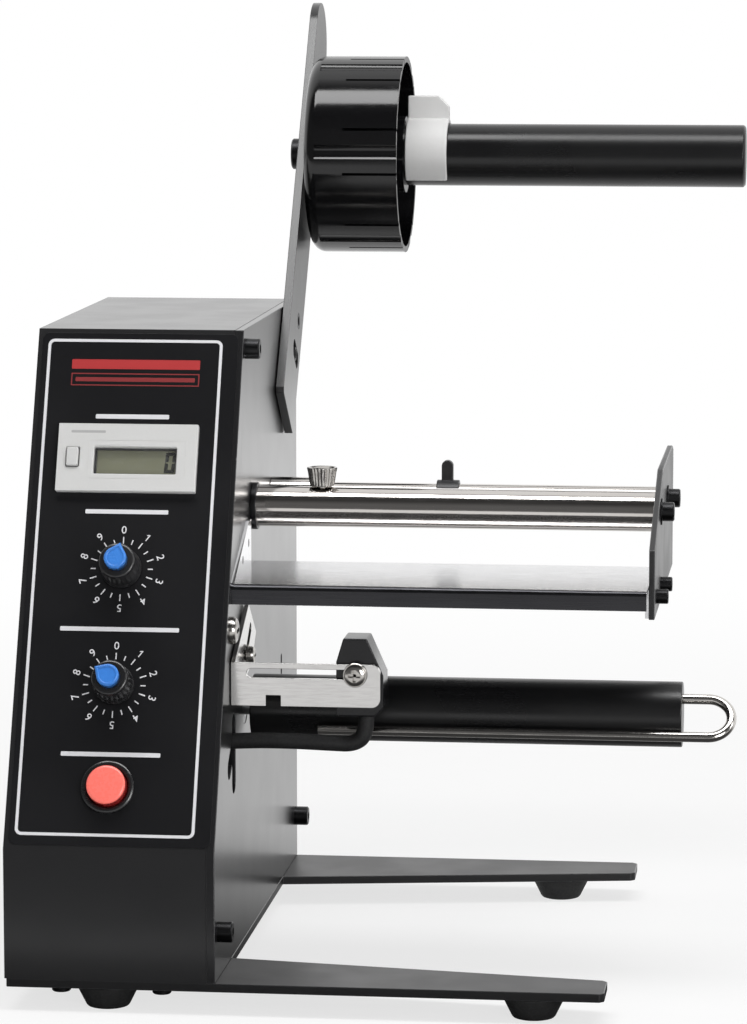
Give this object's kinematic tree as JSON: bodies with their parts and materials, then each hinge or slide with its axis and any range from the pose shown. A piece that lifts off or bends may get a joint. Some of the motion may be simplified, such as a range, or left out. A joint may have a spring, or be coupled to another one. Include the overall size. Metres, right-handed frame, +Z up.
{
  "type": "label dispenser machine",
  "caption": "Desk-top label dispenser: sloped control casing on a legged base, with a tilting supply arm and hub, guide rods, a peel plate, a label sensor and a take-up roller with a wire clip.",
  "frame": {"origin": "on the floor under the middle of the whole machine", "axes": "+Z up, -Y towards the person at the control panel, +X along the rods, away from the casing"},
  "size_m": [0.2405, 0.2754, 0.331],
  "materials": {
    "side_plate": "satin black paint",
    "cover_shell": "satin black paint",
    "control_label": "printed black film",
    "base_plate": "satin black paint",
    "rubber_feet": "black rubber",
    "base_screws": "blackened steel",
    "side_screws": "blackened steel",
    "counter_case": "light grey plastic",
    "counter_lens": "clear window",
    "counter_display": "grey-green display",
    "length_pot": "plated",
    "speed_pot": "plated",
    "dial_nuts": "plated",
    "power_bezel": "black plastic",
    "power_switch": "black plastic",
    "arm_screws": "blackened steel",
    "front_rod": "polished",
    "rod_ring": "blackened steel",
    "rear_rod": "polished",
    "rear_collar": "polished",
    "rod_screws": "plated",
    "end_plate": "satin black paint",
    "end_bolts": "blackened steel",
    "end_washers": "blackened steel",
    "peel_plate": "mirror polished stainless steel",
    "peel_screws": "plated",
    "terminal_screw": "plated",
    "terminal_block": "black plastic",
    "bracket_screw": "plated",
    "gearbox_case": "cast",
    "gearbox_screws": "plated",
    "motor_can": "plated",
    "circuit_board": "green laminate with its parts",
    "transformer": "laminated core with its winding",
    "power_inlet": "black plastic",
    "supply_arm": "satin black paint",
    "rod_bolt": "blackened steel",
    "supply_rod": "satin black",
    "supply_hub": "black plastic",
    "rod_clip": "white plastic",
    "edge_guide": "black plastic",
    "thumb_screw": "nickel plated",
    "roller": "satin black sleeve",
    "output_shaft": "ground",
    "output_gear": "cut",
    "wire_clip": "plated spring wire",
    "motor_pinion": "cut",
    "length_knob": "black plastic",
    "length_cap": "blue plastic",
    "length_shaft": "bare",
    "speed_knob": "black plastic",
    "speed_cap": "blue plastic",
    "speed_shaft": "bare",
    "power_button": "red plastic",
    "counter_key": "light grey plastic",
    "sensor_bracket": "bright stainless sheet",
    "sensor_head": "black plastic",
    "sensor_screw": "plated",
    "sensor_cable": "black sheath"
  },
  "bodies": {
    "casing": {"side_plate": "side_plate", "cover_shell": "cover_shell", "control_label": "control_label", "base_plate": "base_plate", "rubber_feet": "rubber_feet", "base_screws": "base_screws", "side_screws": "side_screws", "counter_case": "counter_case", "counter_lens": "counter_lens", "counter_display": "counter_display", "length_pot": "length_pot", "speed_pot": "speed_pot", "dial_nuts": "dial_nuts", "power_bezel": "power_bezel", "power_switch": "power_switch", "arm_screws": "arm_screws", "front_rod": "front_rod", "rod_ring": "rod_ring", "rear_rod": "rear_rod", "rear_collar": "rear_collar", "rod_screws": "rod_screws", "end_plate": "end_plate", "end_bolts": "end_bolts", "end_washers": "end_washers", "peel_plate": "peel_plate", "peel_screws": "peel_screws", "terminal_screw": "terminal_screw", "terminal_block": "terminal_block", "bracket_screw": "bracket_screw", "gearbox_case": "gearbox_case", "gearbox_screws": "gearbox_screws", "motor_can": "motor_can", "circuit_board": "circuit_board", "transformer": "transformer", "power_inlet": "power_inlet"},
    "arm": {"supply_arm": "supply_arm", "rod_bolt": "rod_bolt", "supply_rod": "supply_rod"},
    "hub": {"supply_hub": "supply_hub"},
    "clip": {"rod_clip": "rod_clip"},
    "guide": {"edge_guide": "edge_guide"},
    "thumb": {"thumb_screw": "thumb_screw"},
    "roller": {"roller": "roller", "output_shaft": "output_shaft", "output_gear": "output_gear"},
    "wire": {"wire_clip": "wire_clip"},
    "pinion": {"motor_pinion": "motor_pinion"},
    "length_dial": {"length_knob": "length_knob", "length_cap": "length_cap", "length_shaft": "length_shaft"},
    "speed_dial": {"speed_knob": "speed_knob", "speed_cap": "speed_cap", "speed_shaft": "speed_shaft"},
    "power_push": {"power_button": "power_button"},
    "reset_push": {"counter_key": "counter_key"},
    "bracket": {"sensor_bracket": "sensor_bracket"},
    "sensor": {"sensor_head": "sensor_head", "sensor_screw": "sensor_screw", "sensor_cable": "sensor_cable"}
  },
  "joints": [
    {"name": "arm_tilt", "type": "hinge", "parent": "casing", "child": "arm", "pos_m": [-0.04745, 0.05319, 0.2152], "axis": [1, 0, 0], "range_deg": [-12, 12]},
    {"name": "hub_spin", "type": "hinge", "parent": "arm", "child": "hub", "pos_m": [-0.02825, 0.09174, 0.27491], "axis": [1, 0, 0], "continuous": true},
    {"name": "clip_slide", "type": "slide", "parent": "arm", "child": "clip", "axis": [1, 0, 0], "range_m": [0, 0.11]},
    {"name": "guide_slide", "type": "slide", "parent": "casing", "child": "guide", "axis": [1, 0, 0], "range_m": [-0.04, 0.069]},
    {"name": "thumb_turn", "type": "hinge", "parent": "casing", "child": "thumb", "pos_m": [-0.02495, -0.04471, 0.169], "axis": [0, 0, 1], "continuous": true},
    {"name": "roller_spin", "type": "hinge", "parent": "casing", "child": "roller", "pos_m": [0.02775, -0.06571, 0.092], "axis": [1, 0, 0], "continuous": true},
    {"name": "pinion_spin", "type": "hinge", "parent": "casing", "child": "pinion", "pos_m": [-0.06325, -0.04641, 0.092], "axis": [1, 0, 0], "continuous": true},
    {"name": "wire_slide", "type": "slide", "parent": "roller", "child": "wire", "axis": [1, 0, 0], "range_m": [0, 0.12]},
    {"name": "length_turn", "type": "hinge", "parent": "casing", "child": "length_dial", "pos_m": [-0.08625, -0.10441, 0.1462], "axis": [0, 0.9164, -0.4003], "range_deg": [-16, 308]},
    {"name": "speed_turn", "type": "hinge", "parent": "casing", "child": "speed_dial", "pos_m": [-0.08625, -0.12059, 0.10917], "axis": [0, 0.9164, -0.4003], "range_deg": [-302, 22]},
    {"name": "power_press", "type": "slide", "parent": "casing", "child": "power_push", "axis": [0, 0.9164, -0.4003], "range_m": [0, 0.0025], "stiffness_N_per_m": 400},
    {"name": "reset_press", "type": "slide", "parent": "casing", "child": "reset_push", "axis": [0, 0.9164, -0.4003], "range_m": [0, 0.001], "stiffness_N_per_m": 300},
    {"name": "bracket_slide", "type": "slide", "parent": "casing", "child": "bracket", "axis": [0, -0.809, -0.5878], "range_m": [0, 0.0125], "deforming": ["sensor_cable"]},
    {"name": "sensor_slide", "type": "slide", "parent": "bracket", "child": "sensor", "axis": [1, 0, 0], "range_m": [-0.032, 0], "deforming": ["sensor_cable"]}
  ],
  "couplings": [
    {"joint": "pinion_spin", "follows": "roller_spin", "ratio": -3}
  ]
}
